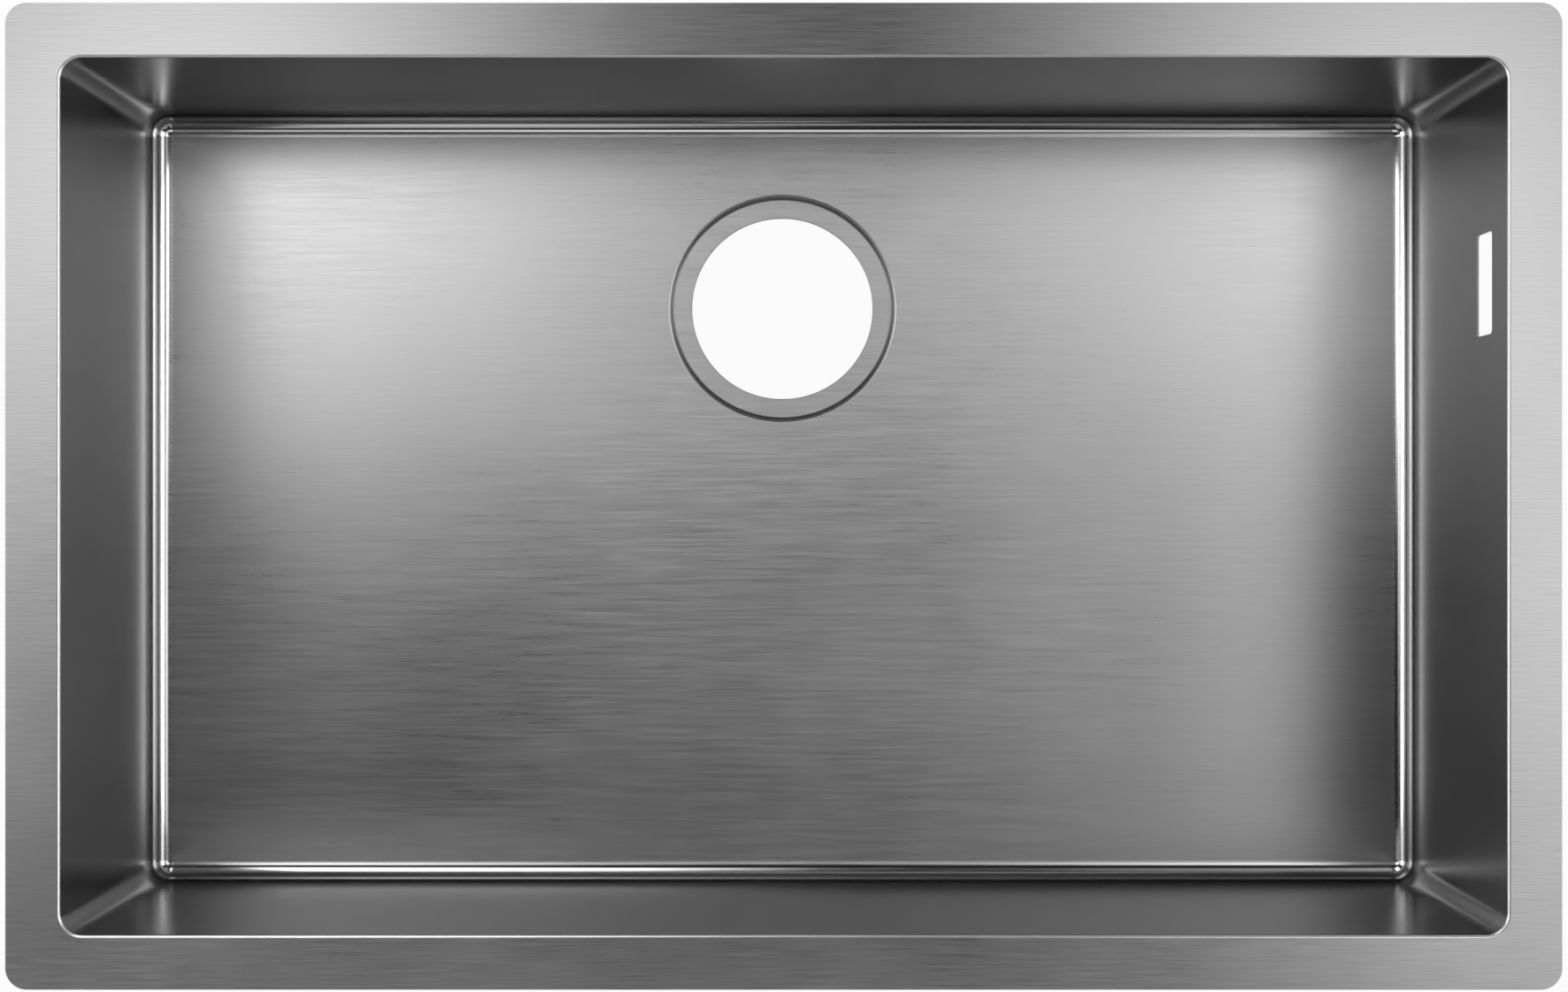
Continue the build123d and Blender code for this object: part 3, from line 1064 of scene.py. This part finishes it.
stainless = turned_stainless()
for piece in (studs, washers, springs):
    piece.data.materials.append(stainless)
zinc = zinc_plate()
nuts.data.materials.append(zinc)
for place in CLAMPS:
    dress_node(f"clamp_strap_{place}", zinc)
print("dressed", len(CLAMPS), "straps")

# %% [markdown]
# ## Sound pads
# The pads are dense black rubber with a fine pebbled face, which takes a little grey dust.
# Their shape is right in the frame already, so they only need the material: the pebbles
# are about a millimetre across and far lower than that, and a bump shows them well enough.

# %% Make the pad rubber
def pad_rubber():
    """Floor and wall pads."""
    material, tree, shader = new_material("pad_rubber")
    position = object_position(tree)
    dust = use_group(tree, patches_group, Position=position, Per_Metre=24.0, Contrast=2.4)
    pebbles = use_group(tree, patches_group, Position=position, Per_Metre=700.0, Contrast=2.0)
    colour = blend(tree, dust, (0.017, 0.017, 0.018, 1), (0.042, 0.042, 0.041, 1))
    roughness = remap(tree, dust, 0.0, 1.0, 0.58, 0.8)
    surface(tree, shader, colour, roughness, relief=pebbles, strength=0.6, depth=0.15 * MM)
    return material


rubber = pad_rubber()
pads = [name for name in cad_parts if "pad" in name]
for name in pads:
    dress_node(name, rubber)
print("dressed", len(pads), "pads")

# %% [markdown]
# ## Floor
# The photograph's background is plain white. The floor shows that white to the camera and
# to reflections through the Light Path node, mixed with a plain pale surface that still
# catches the sink's shadow, so nothing has to be lit harder to look white.

# %% Lay the floor
FLOOR_HALF = 6
FLOOR_GAP = 0.2 * MM

bm = bmesh.new()
bmesh.ops.create_grid(bm, x_segments=1, y_segments=1, size=FLOOR_HALF)
bmesh.ops.translate(bm, vec=(0, 0, cad_box[0][2] - FLOOR_GAP), verts=bm.verts)
floor_mesh = bpy.data.meshes.new("floor")
bm.to_mesh(floor_mesh)
bm.free()
floor = bpy.data.objects.new("floor", floor_mesh)
scene.collection.objects.link(floor)
floor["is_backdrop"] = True
print("floor at", round(floor_mesh.vertices[0].co.z, 4))

# %% Make the floor white to the camera and to reflections
WHITE_SHARE = 0.92

material, tree, shader = new_material("studio_floor")
put(tree, shader, "Base Color", grey(0.8))
put(tree, shader, "Roughness", 0.9)
path = add(tree, "ShaderNodeLightPath").outputs
seen = largest(tree, path["Is Camera Ray"], path["Is Glossy Ray"], path["Is Transmission Ray"])
white = add(tree, "ShaderNodeEmission", Color=grey(1), Strength=1.0)
mixed = add(tree, "ShaderNodeMixShader")
put(tree, mixed, "0", calc(tree, "MULTIPLY", seen, WHITE_SHARE))
put(tree, mixed, "1", shader.outputs[0])
put(tree, mixed, "2", white.outputs[0])
put(tree, tree.nodes["Material Output"], "Surface", mixed.outputs[0])
floor_mesh.materials.append(material)
print("floor white share", WHITE_SHARE)

# %% [markdown]
# ## Light
# Polished metal has almost no look of its own: it shows the room. So the light is a small
# studio drawn in soft boxes. A dim world fills in, white near the horizon where the
# backdrop would be, and the camera itself sees it white all round. Large soft-edged lamps
# stand where the photograph's reflections say the bright parts of its room are. Lamps
# that overlap in one plane would hide each other, so the ceiling hangs at two heights.

# %% Dim the world
WHITE_BELOW = 0.2
DIM_ABOVE = 0.45
DIM_LEVEL = 0.02

world = bpy.data.worlds.new("studio")
scene.world = world
world.use_nodes = True
sky = world.node_tree
direction = add(sky, "ShaderNodeTexCoord").outputs["Generated"]
upwards = add(sky, "ShaderNodeSeparateXYZ", Vector=direction).outputs["Z"]
fade = remap(sky, upwards, WHITE_BELOW, DIM_ABOVE, 1.0, DIM_LEVEL)
seen_directly = add(sky, "ShaderNodeLightPath").outputs["Is Camera Ray"]
background = sky.nodes["Background"]
put(sky, background, "Color", grey(1))
put(sky, background, "Strength", largest(sky, fade, seen_directly))
print("world", DIM_LEVEL, "overhead")

# %% Build the soft boxes
def softbox(name, place, look_at, size, radiance, edge):
    """An area lamp with the given radiance in its middle; it fades over an edge at each side."""
    data = bpy.data.lights.new(name, "AREA")
    data.shape = "RECTANGLE"
    data.size, data.size_y = size
    data.energy = radiance * pi * size[0] * size[1]
    data.use_nodes = True
    lit = data.node_tree
    spot = add(lit, "ShaderNodeNewGeometry").outputs["Parametric"]
    across = add(lit, "ShaderNodeSeparateXYZ", Vector=spot).outputs
    level = 1.0
    for axis in ("X", "Y"):
        off_middle = calc(lit, "ABSOLUTE", calc(lit, "SUBTRACT", across[axis], 0.5))
        inwards = calc(lit, "SUBTRACT", 0.5, off_middle)
        level = calc(lit, "MULTIPLY", remap(lit, inwards, 0.0, edge, 0.0, 1.0), level)
    put(lit, lit.nodes["Emission"], "Strength", level)
    lamp = bpy.data.objects.new(name, data)
    lamp.location = place
    lamp.rotation_euler = (Vector(place) - Vector(look_at)).to_track_quat("Z", "Y").to_euler()
    lamp.visible_camera = False
    scene.collection.objects.link(lamp)


# %% Place the ceiling boxes
UPPER, LOWER = 1.75, 1.71


def ceiling_box(name, place, size, radiance):
    """A soft box that hangs flat and fades all the way from its middle to its edge."""
    softbox(name, place, (place[0], place[1], 0), size, radiance, edge=0.5)


ceiling_box("left_ceiling", (-0.62, 0.4, UPPER), (1.1, 0.95), 4)
ceiling_box("right_ceiling", (0.7, 0.4, UPPER), (1.2, 0.95), 3.3)
ceiling_box("far_left_ceiling", (-1.15, 0.15, LOWER), (0.9, 1.2), 2.4)
ceiling_box("right_middle_ceiling", (0.95, -0.15, LOWER), (1.2, 1.0), 2.2)
ceiling_box("right_front_ceiling", (0.95, -0.65, UPPER), (1.2, 1.0), 0.9)
ceiling_box("front_ceiling", (-0.1, -1.0, LOWER), (2.6, 0.9), 1.3)
print("ceiling at", LOWER, "and", UPPER, "m")

# %% Place the boxes round the sink
BOWL_MIDDLE = (0, 0, -0.05)


def side_box(name, place, size, radiance):
    """A soft box that stands round the sink and faces into the bowl."""
    softbox(name, place, BOWL_MIDDLE, size, radiance, edge=0.3)


side_box("right_side", (1.52, 0, 1.0), (1.6, 0.9), 6.8)
side_box("left_side", (-1.52, 0, 1.0), (1.6, 0.9), 5.4)
side_box("back_left", (-0.5, 1.4, 0.98), (1.1, 1.2), 3.4)
side_box("back_right", (0.75, 1.4, 0.98), (1.1, 1.0), 0.4)
side_box("front_left", (-0.5, -1.4, 0.8), (1.1, 0.8), 0.5)
side_box("front_right", (0.8, -1.4, 0.8), (1.1, 0.8), 0.3)

# %% [markdown]
# ## Finish
# The picture is shown without a film look, so that greys come out as they are written.
# The last cell prints both boxes, the CAD one and the visual one.

# %% Write the sizes and finish
scene.view_settings.view_transform = "Standard"
visual_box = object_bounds()
for name, box in (("cad", cad_box), ("visual", visual_box)):
    print(name, [[round(value / MM, 2) for value in corner] for corner in box])
